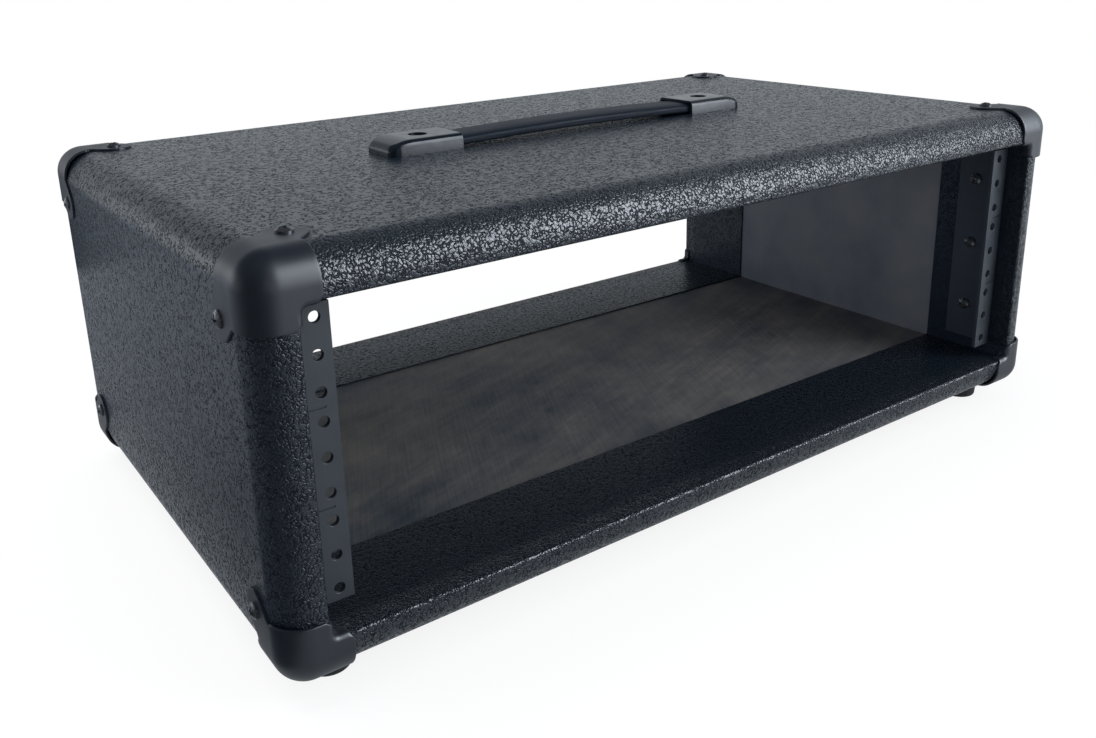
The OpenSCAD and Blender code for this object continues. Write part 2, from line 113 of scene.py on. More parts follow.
def grained_vinyl():
    """Soft PVC sheet embossed with a leather grain: smooth low pebbles, parted by creases about 0.3 mm
    wide that a warp bends out of line and that close up in places, so that pebbles run together. The
    creases carry painted shade: a darker base colour and a weaker reflection stand in for the shade that
    falls in them. Where the sheet is drawn round the edges of the openings, from DRAWN_FROM to DRAWN_TO off
    the middle, the pebbles stand out and reflect more. Distances to a crease are shares of a pebble's width."""
    material, tree, shader = finish_of("grained_vinyl", "141a20", 0.3, IOR=1.45)
    place = add(tree, "ShaderNodeTexCoord").outputs["Object"]
    warp = add(tree, "ShaderNodeTexNoise", Vector=place, Scale=per_mm(WARP_MM), Detail=2.0).outputs["Color"]
    centred = add(tree, "ShaderNodeVectorMath", {"operation": "SUBTRACT"}, i0=warp, i1=(0.5, 0.5, 0.5))
    shift = add(tree, "ShaderNodeVectorMath", {"operation": "SCALE"}, i0=centred, Scale=WARP_MM * MM)
    bent = add(tree, "ShaderNodeVectorMath", {"operation": "ADD"}, i0=place, i1=shift)
    depth = add(tree, "ShaderNodeSeparateXYZ", Vector=place).outputs["Y"]
    off_middle = add(tree, "ShaderNodeMath", UNSIGNED, i0=depth)

    def on_edges(flat, drawn):
        return add(tree, "ShaderNodeMapRange", SMOOTH, Value=off_middle, i1=DRAWN_FROM, i2=DRAWN_TO,
                   i3=flat, i4=drawn)

    cells = add(tree, "ShaderNodeTexVoronoi", {"feature": "DISTANCE_TO_EDGE"}, Vector=bent,
                Scale=per_mm(PEBBLE_MM)).outputs["Distance"]
    merge = add(tree, "ShaderNodeTexNoise", Vector=place, Scale=per_mm(MERGE_MM), Detail=1.0)
    closed = add(tree, "ShaderNodeMapRange", SMOOTH, Value=merge, i1=on_edges(0.47, 0.53),
                 i2=on_edges(0.6, 0.65), i3=0.0, i4=0.16)
    edge = add(tree, "ShaderNodeMath", {"operation": "ADD"}, i0=cells, i1=closed)
    pebble = add(tree, "ShaderNodeMapRange", SMOOTH, Value=edge, i1=0.02, i2=0.16, i3=0.0, i4=1.0)
    flank = add(tree, "ShaderNodeMath", TIMES, i0=pebble, i1=on_edges(0.3, 1.0))
    dome = add(tree, "ShaderNodeMapRange", SMOOTH, Value=edge, i1=0.0, i2=0.5, i3=0.0, i4=1.0)
    domes = add(tree, "ShaderNodeMath", TIMES_PLUS, i0=dome, i1=on_edges(0.3, 0.8), i2=flank)
    wrinkle = add(tree, "ShaderNodeTexNoise", Vector=bent, Scale=per_mm(WRINKLE_MM), Detail=2.0)
    height = add(tree, "ShaderNodeMath", TIMES_PLUS, i0=wrinkle, i1=on_edges(0.4, 0.9), i2=domes)
    bump = add(tree, "ShaderNodeBump", Strength=1.0, Distance=GRAIN_H_MM * MM, Height=height)
    rough = add(tree, "ShaderNodeMapRange", SMOOTH, Value=pebble, i1=0.0, i2=1.0, i3=0.55, i4=0.26)
    # Specular level: low in the creases as painted shade, higher on the drawn edges of the openings.
    crease_shade_and_shine = add(tree, "ShaderNodeMapRange", SMOOTH, Value=pebble, i1=0.0, i2=1.0, i3=0.08,
                i4=on_edges(0.28, 0.5))
    # Base colour darker in the creases than on the pebble tops: painted shade in the creases.
    tone = add(tree, "ShaderNodeMix", COLOURS, Factor=pebble, i6=linear("0d131a"), i7=linear("161d25"))
    tree.links.new(bump.outputs[0], shader.inputs["Normal"])
    tree.links.new(rough.outputs[0], shader.inputs["Roughness"])
    tree.links.new(crease_shade_and_shine.outputs[0], shader.inputs["Specular IOR Level"])
    tree.links.new(tone.outputs[2], shader.inputs["Base Color"])
    return material


def moulded_satin():
    """Satin ABS, moulded in a finely etched tool: even black with broad soft highlights, a faint 0.6 mm etch
    and 14 mm clouds of roughness."""
    material, tree, shader = finish_of("moulded_satin", "0b131d", 0.42, IOR=1.5)
    place = add(tree, "ShaderNodeTexCoord").outputs["Object"]
    etch = add(tree, "ShaderNodeTexNoise", Vector=place, Scale=per_mm(0.6), Detail=2.0)
    bump = add(tree, "ShaderNodeBump", Strength=0.35, Distance=0.02 * MM, Height=etch)
    tree.links.new(bump.outputs[0], shader.inputs["Normal"])
    cloud = add(tree, "ShaderNodeTexNoise", Vector=place, Scale=per_mm(14), Detail=3.0)
    rough = add(tree, "ShaderNodeMapRange", Value=cloud, i1=NOISE_LOW, i2=NOISE_HIGH, i3=0.38, i4=0.46)
    tree.links.new(rough.outputs[0], shader.inputs["Roughness"])
    return material


def powder_coat():
    """Black powder coat on folded steel: dull, with the fine orange-peel of fused powder, about 0.8 mm
    across, and 9 mm clouds of roughness."""
    material, tree, shader = finish_of("powder_coat", "20272e", 0.5, IOR=1.45)
    place = add(tree, "ShaderNodeTexCoord").outputs["Object"]
    peel = add(tree, "ShaderNodeTexNoise", Vector=place, Scale=per_mm(0.8), Detail=2.0)
    bump = add(tree, "ShaderNodeBump", Strength=0.5, Distance=0.03 * MM, Height=peel)
    tree.links.new(bump.outputs[0], shader.inputs["Normal"])
    cloud = add(tree, "ShaderNodeTexNoise", Vector=place, Scale=per_mm(9), Detail=3.0)
    rough = add(tree, "ShaderNodeMapRange", Value=cloud, i1=NOISE_LOW, i2=NOISE_HIGH, i3=0.4, i4=0.6)
    tree.links.new(rough.outputs[0], shader.inputs["Roughness"])
    return material


CLOUD_MM, PORE_L_MM, PORE_W_MM = 60, 30, 0.9
BRUSH_L, BRUSH_W, BRUSH_TURN = 60 * MM, 7 * MM, math.radians(20)
SCRATCH_L, SCRATCH_W, SCRATCH_TURN = 30 * MM, 1.4 * MM, math.radians(65)


def stained_plywood():
    """Plywood brushed with black stain: broad clouds, cold where the cover is thick and warm where the wood
    shows through, stronger on the level boards, where brush marks and finer scratches cross, each turned
    from X by its own angle. Fine pores run along X."""
    material, tree, shader = finish_of("stained_plywood", "34383b", 0.65, IOR=1.35)
    place = add(tree, "ShaderNodeTexCoord").outputs["Object"]
    cloud = add(tree, "ShaderNodeTexNoise", Vector=place, Scale=per_mm(CLOUD_MM), Detail=6.0, Roughness=0.62)
    turned = add(tree, "ShaderNodeMapping", TURN_FIRST, Vector=place, Rotation=(0, 0, BRUSH_TURN),
                 Scale=(BRUSH_L, BRUSH_W, BRUSH_L))
    brush = add(tree, "ShaderNodeTexNoise", Vector=turned, Scale=1.0, Detail=5.0, Roughness=0.65)
    crossed = add(tree, "ShaderNodeMapping", TURN_FIRST, Vector=place, Rotation=(0, 0, SCRATCH_TURN),
                  Scale=(SCRATCH_L, SCRATCH_W, SCRATCH_L))
    scratch = add(tree, "ShaderNodeTexNoise", Vector=crossed, Scale=1.0, Detail=3.0)
    crossing = add(tree, "ShaderNodeMath", TIMES_PLUS, i0=scratch, i1=0.7, i2=brush)
    normal = add(tree, "ShaderNodeTexCoord").outputs["Normal"]
    level = add(tree, "ShaderNodeMath", UNSIGNED,
                i0=add(tree, "ShaderNodeSeparateXYZ", Vector=normal).outputs["Z"])
    marks = add(tree, "ShaderNodeMix", i0=level, i2=0.85, i3=crossing)
    calm = add(tree, "ShaderNodeMath", TIMES_PLUS, i0=cloud, i1=0.5, i2=0.25)
    stain = add(tree, "ShaderNodeMix", i0=level, i2=calm, i3=cloud)
    cover = add(tree, "ShaderNodeMath", TIMES_PLUS, i0=marks, i1=0.55, i2=stain)
    shade = add(tree, "ShaderNodeMapRange", Value=cover, i1=0.7, i2=1.24, i3=0.0, i4=1.0)
    tone = add(tree, "ShaderNodeMix", COLOURS, Factor=shade, i6=linear("2a343e"), i7=linear("6f6b67"))
    tree.links.new(tone.outputs[2], shader.inputs["Base Color"])
    rough = add(tree, "ShaderNodeMapRange", Value=cover, i1=0.7, i2=1.2, i3=0.5, i4=0.78)
    tree.links.new(rough.outputs[0], shader.inputs["Roughness"])
    along = add(tree, "ShaderNodeMapping", Vector=place,
                Scale=(per_mm(PORE_L_MM), per_mm(PORE_W_MM), per_mm(PORE_W_MM)))
    pores = add(tree, "ShaderNodeTexNoise", Vector=along, Scale=1.0, Detail=2.0)
    bump = add(tree, "ShaderNodeBump", Strength=0.4, Distance=0.08 * MM, Height=pores)
    tree.links.new(bump.outputs[0], shader.inputs["Normal"])
    return material


def moulded_gloss():
    """Semi-gloss ABS of the handle caps: clean black with clear, slightly soft reflections, in 6 mm clouds
    of roughness."""
    material, tree, shader = finish_of("moulded_gloss", "10171e", 0.2, IOR=1.45, Specular_IOR_Level=0.25)
    place = add(tree, "ShaderNodeTexCoord").outputs["Object"]
    cloud = add(tree, "ShaderNodeTexNoise", Vector=place, Scale=per_mm(6), Detail=3.0)
    rough = add(tree, "ShaderNodeMapRange", Value=cloud, i1=NOISE_LOW, i2=NOISE_HIGH, i3=0.17, i4=0.25)
    tree.links.new(rough.outputs[0], shader.inputs["Roughness"])
    return material


DRAWN_L_MM, DRAWN_W_MM = 30, 1.2


def strap_skin():
    """Smooth soft PVC moulded over a spring steel core: low sheen with a faint drawn texture along its
    length."""
    material, tree, shader = finish_of("strap_skin", "0d151f", 0.5, IOR=1.45, Specular_IOR_Level=0.16)
    place = add(tree, "ShaderNodeTexCoord").outputs["Object"]
    along = add(tree, "ShaderNodeMapping", Vector=place,
                Scale=(per_mm(DRAWN_L_MM), per_mm(DRAWN_W_MM), per_mm(DRAWN_W_MM)))
    drawn = add(tree, "ShaderNodeTexNoise", Vector=along, Scale=1.0, Detail=2.0)
    rough = add(tree, "ShaderNodeMapRange", Value=drawn, i1=NOISE_LOW, i2=NOISE_HIGH, i3=0.46, i4=0.58)
    tree.links.new(rough.outputs[0], shader.inputs["Roughness"])
    return material


def blackened_steel():
    """Black-oxide screws: dark metal with a smoky, slightly worn film in 1.5 mm clouds."""
    material, tree, shader = finish_of("blackened_steel", "5c5e62", 0.28, Metallic=0.85)
    place = add(tree, "ShaderNodeTexCoord").outputs["Object"]
    film = add(tree, "ShaderNodeTexNoise", Vector=place, Scale=per_mm(1.5), Detail=3.0)
    rough = add(tree, "ShaderNodeMapRange", Value=film, i1=NOISE_LOW, i2=NOISE_HIGH, i3=0.2, i4=0.38)
    tree.links.new(rough.outputs[0], shader.inputs["Roughness"])
    return material


def foot_rubber():
    """Moulded black rubber: matt, faintly bloomed in 4 mm clouds."""
    material, tree, shader = finish_of("foot_rubber", "151515", 0.75, IOR=1.5)
    place = add(tree, "ShaderNodeTexCoord").outputs["Object"]
    bloom = add(tree, "ShaderNodeTexNoise", Vector=place, Scale=per_mm(4), Detail=3.0)
    tone = add(tree, "ShaderNodeMix", COLOURS, Factor=bloom, i6=linear("101010"), i7=linear("1c1c1c"))
    tree.links.new(tone.outputs[2], shader.inputs["Base Color"])
    return material


def zinc_plate():
    """Zinc-plated steel of the tee nuts, washers and foot screws: pale metal with faint crystal clouding,
    1.8 mm across."""
    material, tree, shader = finish_of("zinc_plate", "b4b7b8", 0.35, Metallic=1.0)
    place = add(tree, "ShaderNodeTexCoord").outputs["Object"]
    cloud = add(tree, "ShaderNodeTexVoronoi", Vector=place, Scale=per_mm(1.8)).outputs["Color"]
    rough = add(tree, "ShaderNodeMapRange", Value=cloud, i1=0.0, i2=1.0, i3=0.28, i4=0.42)
    tree.links.new(rough.outputs[0], shader.inputs["Roughness"])
    return material


FINISH = {"plywood": stained_plywood(), "vinyl": grained_vinyl(), "corner": moulded_satin(),
          "rail": powder_coat(), "screw_black": blackened_steel(), "cap": moulded_gloss(),
          "strap": strap_skin(), "foot": foot_rubber(), "zinc": zinc_plate()}

for row in frame["record"]["subparts"]:
    solid = frame["nodes"][row["node"]]
    solid.data.materials.clear()
    solid.data.materials.append(FINISH[row["material_slot"]])


# Surfaces

MERGE_AT = 0.002 * MM


def grid_quads(rows, cols, closed):
    """Corner numbers of the quads between neighbouring rows and columns; closed joins the last column to
    the first one."""
    row = np.arange(rows - 1)[:, None] * cols
    col = np.arange(cols if closed else cols - 1)[None, :]
    after = (col + 1) % cols
    return np.stack([row + col, row + after, row + cols + after, row + cols + col], -1).reshape(-1, 4)


def piece(name, patches, slot, *nodes, crease=40):
    """One closed mesh from grids of points in millimetres, given as (points, closed) with
    points[row, column]. Points within MERGE_AT are merged, faces are turned outwards, and edges over crease
    degrees stay sharp."""
    points, quads, first = [], [], 0
    for grid, closed in patches:
        points.append(grid.reshape(-1, 3))
        quads.append(first + grid_quads(grid.shape[0], grid.shape[1], closed))
        first += len(points[-1])
    mesh = bpy.data.meshes.new(name)
    mesh.from_pydata((np.concatenate(points) * MM).tolist(), [], np.concatenate(quads).tolist())
    shape = bmesh.new()
    shape.from_mesh(mesh)
    bmesh.ops.remove_doubles(shape, verts=shape.verts[:], dist=MERGE_AT)
    bmesh.ops.dissolve_degenerate(shape, edges=shape.edges[:], dist=MERGE_AT / 2)
    bmesh.ops.recalc_face_normals(shape, faces=shape.faces[:])
    shape.to_mesh(mesh)
    shape.free()
    mesh.shade_smooth()
    mesh.set_sharp_from_angle(angle=math.radians(crease))
    mesh.materials.append(FINISH[slot])
    made = bpy.data.objects.new(name, mesh)
    scene.collection.objects.link(made)
    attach(made, "root")
    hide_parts(*nodes)
    return made


def box_mm(node):
    """Lowest and highest corner of a CAD node in millimetres."""
    low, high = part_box(node)
    return np.array(low) / MM, np.array(high) / MM


CASE_LOW, CASE_HIGH = box_mm("vinyl_covering")


# Corner protectors

SHELL_T, BEND_R, ARM_L = 1.2, 13.6, 29.8
EAR_IN, EAR_R = 28.0, 9.6
WALL_T, MOUTH_R, NOTCH_R = 20.0, 1.5, 5.0
LIP_L, LIP_RUN = 3.0, 2.5
RIM_R = 0.6
ARM_HALF_W, NICK = 12.6, (28.4, 14.4)
FACE_STEPS, FINE_STEPS, BELL_STEPS, BELL_REACH, SIDE_STEPS = 120, 1440, 13.0, 48, 60
OUTER_ROWS, OUTER_POWER, RIM_ROWS, INNER_ROWS = 24, 0.9, 9, 12


def arc(centre, radius, start, end, steps=40):
    """Points of a circle from one angle to another, in degrees."""
    a = np.radians(np.linspace(start, end, steps))
    return np.stack([centre[0] + radius * np.cos(a), centre[1] + radius * np.sin(a)], -1)


def reach_of(outline):
    """Distance from the corner to an outline at each of the face's angles from 0 to 90 degrees. The
    outline's corners are softened with a bell-shaped window about 1 degree wide, which is 0.5 mm there."""
    fine = np.linspace(0, 90, FINE_STEPS + 1)
    stop = np.linspace(0, len(outline) - 1, SIDE_STEPS * len(outline))
    x, y = (np.interp(stop, np.arange(len(outline)), outline[:, k]) for k in (0, 1))
    reach = np.interp(fine, np.degrees(np.arctan2(y, x)), np.hypot(x, y))
    span = np.arange(-BELL_REACH, BELL_REACH + 1)
    bell = np.exp(-(span / BELL_STEPS) ** 2 / 2)
    soft = np.convolve(np.pad(reach, BELL_REACH, mode="reflect"), bell / bell.sum(), mode="valid")
    return np.interp(np.arange(FACE_STEPS) * 90 / FACE_STEPS, fine, soft)


def ear_reach():
    """Face with an ear: arm ends at ARM_L, a small nick beside each, straight flanks and the ear's round
    end."""
    ear = np.array([EAR_IN, EAR_IN])
    to_ear = ear - NICK
    far = np.hypot(*to_ear)
    lean = math.degrees(math.atan2(to_ear[1], to_ear[0]) - math.asin(EAR_R / far))
    half = np.concatenate([[[ARM_L, 0], [ARM_L, ARM_HALF_W]], [NICK], arc(ear, EAR_R, lean - 90, 45)])
    return reach_of(np.concatenate([half, half[::-1, ::-1]]))


def edge_reach():
    """Face over the board edges: two arms ARM_L long that end where the fold into the opening starts, with
    a round inner corner."""
    flat = WALL_T - MOUTH_R
    middle = (flat + NOTCH_R, flat + NOTCH_R)
    return reach_of(np.concatenate([[[ARM_L, 0], [ARM_L, flat]], arc(middle, NOTCH_R, 270, 180),
                                    [[flat, ARM_L], [0, ARM_L]]]))


def rim_profile():
    """Section across the shell's rim as offsets beyond the outline and heights over the case, from the
    outer skin to the inner: plain, with a rounded brim, and folded, which turns round the edge of the
    opening and runs LIP_L in."""
    turn = np.radians(np.linspace(0, 90, RIM_ROWS))
    half = np.radians(np.linspace(0, 180, RIM_ROWS))
    bend, tip_r = MOUTH_R + SHELL_T, SHELL_T / 2
    brim = np.stack([-RIM_R * (1 - np.sin(turn)), SHELL_T - RIM_R * (1 - np.cos(turn))], -1)
    plain = np.concatenate([np.tile([-RIM_R, SHELL_T], (RIM_ROWS, 1)), brim, np.zeros((RIM_ROWS, 2))])
    folded = np.concatenate([
        np.stack([bend * np.sin(turn), SHELL_T - bend * (1 - np.cos(turn))], -1),
        np.stack([MOUTH_R + tip_r * (1 + np.cos(half)), -MOUTH_R - LIP_L - tip_r * np.sin(half)], -1),
        np.stack([MOUTH_R * np.sin(turn[::-1]), -MOUTH_R * (1 - np.cos(turn[::-1]))], -1)])
    return plain, folded


def protector_points():
    """Shell of one protector in its corner's directions a, b, c: three faces, each swept by an angle about
    the corner and a distance from it, laid on the flat faces of a sharp box and then drawn onto the rounded
    box: a point keeps its nearest point on the inner box and goes out from that by the bend radius plus the
    height over the case. Rows run from the tip over the outer skin, round the rim and back along the inner
    skin. Along the opening the rim is folded, and over LIP_RUN from an arm's end it goes over to the plain
    one."""
    angle = np.tile(np.radians(np.arange(FACE_STEPS) * 90 / FACE_STEPS), 3)
    ray = np.stack([np.cos(angle), np.sin(angle)], -1)
    reach = np.concatenate([ear_reach(), ear_reach(), edge_reach()])
    slope = (np.roll(reach, -1) - np.roll(reach, 1)) / (2 * math.radians(90 / FACE_STEPS))
    outline = reach[:, None] * ray
    normal = outline + slope[:, None] * np.stack([ray[:, 1], -ray[:, 0]], -1)
    normal /= np.linalg.norm(normal, axis=-1, keepdims=True)
    run = np.clip((ARM_L - outline.max(-1)) / LIP_RUN, 0, 1)
    fold = np.where(np.arange(3 * FACE_STEPS) < 2 * FACE_STEPS, 0, run * run * (3 - 2 * run))
    plain, folded = rim_profile()
    profile = plain[:, None] + fold[None, :, None] * (folded - plain)[:, None]
    rim = outline + profile[..., :1] * normal
    out = np.linspace(0, 1, OUTER_ROWS + 1)[:-1, None, None] ** OUTER_POWER * rim[:1]
    back = np.linspace(1, 0, INNER_ROWS + 1)[1:, None, None] * rim[-1:]
    plan = np.concatenate([out, rim, back])
    skins = np.full(out.shape[:2], SHELL_T), profile[..., 1], np.zeros(back.shape[:2])
    height = np.concatenate(skins)[..., None]
    u, v, w = plan[..., 0], plan[..., 1], np.zeros(plan.shape[:2])
    side = np.repeat(np.arange(3), FACE_STEPS)
    a = np.choose(side, [u, w, v])
    b = np.choose(side, [v, u, w])
    c = np.choose(side, [w, v, u])
    sharp = np.stack([a, b, c], -1)
    inner = np.maximum(sharp, BEND_R)
    away = sharp - inner
    return inner + away / np.linalg.norm(away, axis=-1, keepdims=True) * (BEND_R + height)


def corner_protectors():
    """All eight protectors: the shell's a, b, c measured inwards from each corner of the case."""
    shell = protector_points()
    for sx, across in ((-1, "left"), (1, "right")):
        for sy, depth in ((-1, "front"), (1, "rear")):
            for sz, level in ((-1, "bottom"), (1, "top")):
                sign = np.array([sx, sy, sz])
                corner = np.where(sign > 0, CASE_HIGH, CASE_LOW)
                node = f"corner_{depth}_{level}_{across}"
                piece(f"protector_{depth}_{level}_{across}", [(corner - sign * shell, True)], "corner", node)


# Handle

CAP_LOW, CAP_HIGH = box_mm("handle_cap_right")
CAP_X0, CAP_X1, CAP_HALF, CAP_H = CAP_LOW[0], CAP_HIGH[0], CAP_HIGH[1], CAP_HIGH[2] - CAP_LOW[2]
CAP_CORNER_R, CAP_EDGE_R, CAP_DRAFT = 6.0, 3.2, math.radians(3.5)
NOSE_L, NOSE_R = 14.0, 29.0
BOLT_X = CAP_X1 - 24.6
HEAD_WELL_R, HEAD_SEAT, BOLT_HOLE_R = 5.4, 5.65, 2.6
BOSS_R, TONGUE_T, TONGUE_W = 6.9, 3.0, 22.0
POCKET_H, POCKET_HALF, POCKET_END = 6.9, 13.3, BOLT_X + 10.3
CAP_BREAK, CAP_BREAK_ANGLE = 0.3 * MM, math.radians(40)
RUN_STEPS, CORNER_STEPS, BACK_STEPS, END_STEPS, EDGE_ROWS, LID_ROWS = 40, 17, 24, 26, 11, 13


def handle_cap(side, name, node):
    """Hollow cap. Its outer wall is a rounded edge profile carried along three sides of the plan; the top is
    ruled from that edge to the screw well's circle; then come well, boss and the pocket's ceiling and walls,
    and a strip closes the end around the strap. The top falls towards the nose along a circle of radius
    NOSE_R."""
    core_x, core_y = CAP_X1 - CAP_CORNER_R, CAP_HALF - CAP_CORNER_R
    quarter = np.radians(np.linspace(90, 0, CORNER_STEPS))
    run = np.linspace(CAP_X0, core_x, RUN_STEPS)[:-1]
    across = np.linspace(core_y, -core_y, BACK_STEPS)[1:-1]
    core = np.concatenate([np.stack([run, np.full_like(run, core_y)], -1),
                           np.tile([core_x, core_y], (CORNER_STEPS, 1)),
                           np.stack([np.full_like(across, core_x), across], -1),
                           np.tile([core_x, -core_y], (CORNER_STEPS, 1)),
                           np.stack([run[::-1], np.full_like(run, -core_y)], -1)])
    lean = np.concatenate([np.full(len(run), math.pi / 2), quarter, np.zeros(len(across)),
                           quarter - math.pi / 2, np.full(len(run), -math.pi / 2)])
    outward = np.stack([np.cos(lean), np.sin(lean)], -1)

    def top(x):
        past = np.clip(x - (CAP_X1 - NOSE_L), 0, None)
        return CAP_H - NOSE_R + np.sqrt(NOSE_R ** 2 - past ** 2)

    def at(plan, z):
        return np.concatenate([plan, np.broadcast_to(z, plan.shape[:-1])[..., None]], -1)

    bend = np.linspace(CAP_DRAFT, math.pi / 2, EDGE_ROWS)[:, None]
    low_top = top(core[:, 0] + CAP_CORNER_R * outward[:, 0]) - CAP_EDGE_R
    wall_h = low_top + CAP_EDGE_R * math.sin(CAP_DRAFT)
    middle = CAP_EDGE_R * math.cos(CAP_DRAFT) + math.tan(CAP_DRAFT) * wall_h
    inset = np.concatenate([np.zeros((1, len(core))), middle - CAP_EDGE_R * np.cos(bend)])
    wall_plan = core + (CAP_CORNER_R - inset[..., None]) * outward
    edge_z = top(wall_plan[1:, :, 0]) - CAP_EDGE_R * (1 - np.sin(bend))
    wall = at(wall_plan, np.concatenate([np.zeros((1, len(core))), edge_z]))
    levels = len(wall)
    brim_half = wall_plan[-1, 0, 1]
    end_y = np.linspace(-1, 1, END_STEPS)[1:-1] * brim_half
    end_edge = np.stack([np.full_like(end_y, CAP_X0), end_y], -1)
    brim = np.concatenate([wall_plan[-1], end_edge])
    bolt = np.array([BOLT_X, 0.0])
    ray = brim - bolt
    ray /= np.linalg.norm(ray, axis=-1, keepdims=True)
    well = bolt + HEAD_WELL_R * ray
    share = np.linspace(0, 1, LID_ROWS)[:, None, None]
    lid_plan = brim + share * (well - brim)
    lid = at(lid_plan, top(lid_plan[..., 0]))
    pocket = np.concatenate([np.stack([np.minimum(wall_plan[0, :, 0], POCKET_END),
                                       np.clip(wall_plan[0, :, 1], -POCKET_HALF, POCKET_HALF)], -1),
                             end_edge * [1, POCKET_HALF / brim_half]])
    section = ((HEAD_WELL_R, HEAD_SEAT), (BOLT_HOLE_R, HEAD_SEAT), (BOLT_HOLE_R, TONGUE_T),
               (BOSS_R, TONGUE_T), (BOSS_R, POCKET_H))
    rings = [at(bolt + radius * ray, z)[None] for radius, z in section]
    loop = np.concatenate([lid, *rings, at(pocket, POCKET_H)[None]])
    count = len(core)
    fall = np.linspace(0, POCKET_H, levels)
    inside = at(np.broadcast_to(pocket[:count], (levels, count, 2)), fall[::-1, None])
    skirt = np.concatenate([inside, wall])
    outer = np.concatenate([wall[:, -1], at(end_edge, CAP_H), wall[::-1, 0]])
    opening = np.concatenate([inside[::-1, -1], at(pocket[count:], POCKET_H), inside[:, 0]])
    grids = [(loop, True), (skirt, False), (np.stack([outer, opening]), False)]
    placed = [(grid * [side, 1, 1] + [0, 0, CAP_LOW[2]], closed) for grid, closed in grids]
    cap = piece(name, placed, "cap", node, crease=35)
    edges = cap.modifiers.new("rounded_edges", "BEVEL")
    edges.width, edges.segments = CAP_BREAK, 2
    edges.limit_method, edges.angle_limit = "ANGLE", CAP_BREAK_ANGLE


STRAP_HALF_W, STRAP_T, STRAP_LOW, STRAP_RISE = 13.0, 6.0, 0.6, 1.6
STRAP_END = CAP_X0 + 3.6
STRAP_BELLY, CROWN_POWER, BELLY_POWER = 2.3, 3.3, 6
TONGUE_X0, TONGUE_X1 = CAP_X0 + 1.0, BOLT_X + 10.0
STRAP_STEPS, ROUND_STEPS, TONGUE_STEPS = 121, 72, 64


def handle_strap():
    """Strap and its two flat ends. The strap is a section carried along a shallow arc that rises STRAP_RISE
    in the middle; the section is a squared oval of two powers, fuller below than above. An end is a plate
    around its screw hole: a ring of rays from the hole's circle to the plate's outline."""
    x = np.linspace(-STRAP_END, STRAP_END, STRAP_STEPS)[:, None]
    radius = STRAP_END ** 2 / (2 * STRAP_RISE) + STRAP_RISE / 2
    lean = np.arcsin(x / radius)
    turn = np.linspace(0, 2 * math.pi, ROUND_STEPS, endpoint=False)[None, :]
    power = np.where(np.sin(turn) > 0, 2 / CROWN_POWER, 2 / BELLY_POWER)
    y = STRAP_HALF_W * np.sign(np.cos(turn)) * np.abs(np.cos(turn)) ** power
    half_t = np.where(np.sin(turn) > 0, STRAP_T - STRAP_BELLY, STRAP_BELLY)
    reach = radius + STRAP_BELLY + half_t * np.sign(np.sin(turn)) * np.abs(np.sin(turn)) ** power
    body = np.stack([reach * np.sin(lean) + 0 * y, y + 0 * x,
                     reach * np.cos(lean) - radius + STRAP_LOW + STRAP_RISE], -1)
    ends = [np.stack([body[k], np.broadcast_to(body[k].mean(0), body[k].shape)]) for k in (0, -1)]
    patches = [(body, True), (ends[0], True), (ends[1], True)]
    lo, hi = np.array([TONGUE_X0, -TONGUE_W / 2]), np.array([TONGUE_X1, TONGUE_W / 2])
    bolt = np.array([BOLT_X, 0.0])
    corners = [math.atan2(cy, cx - BOLT_X) for cx in (lo[0], hi[0]) for cy in (lo[1], hi[1])]
    angle = np.unique(np.concatenate([np.linspace(-math.pi, math.pi, TONGUE_STEPS, endpoint=False), corners]))
    ray = np.stack([np.cos(angle), np.sin(angle)], -1)
    far = np.min(np.where(ray > 0, hi - bolt, bolt - lo) / np.maximum(np.abs(ray), 1e-9), -1, keepdims=True)
    hole, rim = bolt + BOLT_HOLE_R * ray, bolt + far * ray
    loops = [np.concatenate([plan, np.full((len(plan), 1), z)], -1)
             for plan, z in ((hole, 0.0), (hole, TONGUE_T), (rim, TONGUE_T), (rim, 0.0), (hole, 0.0))]
    tongue = np.stack(loops)
    patches += [(tongue, True), (tongue * [-1, 1, 1], True)]
    raised = [(grid + [0, 0, CAP_LOW[2]], closed) for grid, closed in patches]
    piece("strap_and_tongues", raised, "strap", "handle_strap")


# Feet

SOLE_DRAFT, SOLE_EDGE_R, SCREW_WELL_R, SCREW_WELL_H, SCREW_BORE_R = 0.6, 1.6, 5.0, 6.4, 1.9
LIP_R, LIP_STEPS, SOLE_STEPS = 0.5, 9, 17


def rubber_foot(node):
    """A turned rubber foot: a section of bore, well, rounded sole and drafted wall, swept round its axis."""
    low, high = box_mm(node)
    middle, top_r, height = (low + high) / 2, (high[0] - low[0]) / 2, high[2] - low[2]
    sole_r = top_r - SOLE_DRAFT
    section = np.concatenate([
        [[SCREW_BORE_R, height], [SCREW_BORE_R, SCREW_WELL_H], [SCREW_WELL_R, SCREW_WELL_H]],
        arc((SCREW_WELL_R + LIP_R, LIP_R), LIP_R, 180, 270, LIP_STEPS),
        arc((sole_r - SOLE_EDGE_R, SOLE_EDGE_R), SOLE_EDGE_R, 270, 360, SOLE_STEPS),
        arc((top_r - LIP_R, height - LIP_R), LIP_R, 0, 90, LIP_STEPS), [[SCREW_BORE_R, height]]])
    angle = np.linspace(0, 2 * math.pi, ROUND_STEPS, endpoint=False)
    radius, level = section[:, :1], section[:, 1:]
    ring = np.stack([middle[0] + radius * np.cos(angle), middle[1] + radius * np.sin(angle),
                     low[2] + level + 0 * angle], -1)
    piece(f"rubber_{node}", [(ring, True)], "foot", node)


corner_protectors()
for across in ("left", "right"):
    for depth in ("front", "rear"):
        rubber_foot(f"foot_{depth}_{across}")
handle_cap(-1, "cap_left", "handle_cap_left")
handle_cap(1, "cap_right", "handle_cap_right")
handle_strap()


# Stage: floor, lamps, sky and camera

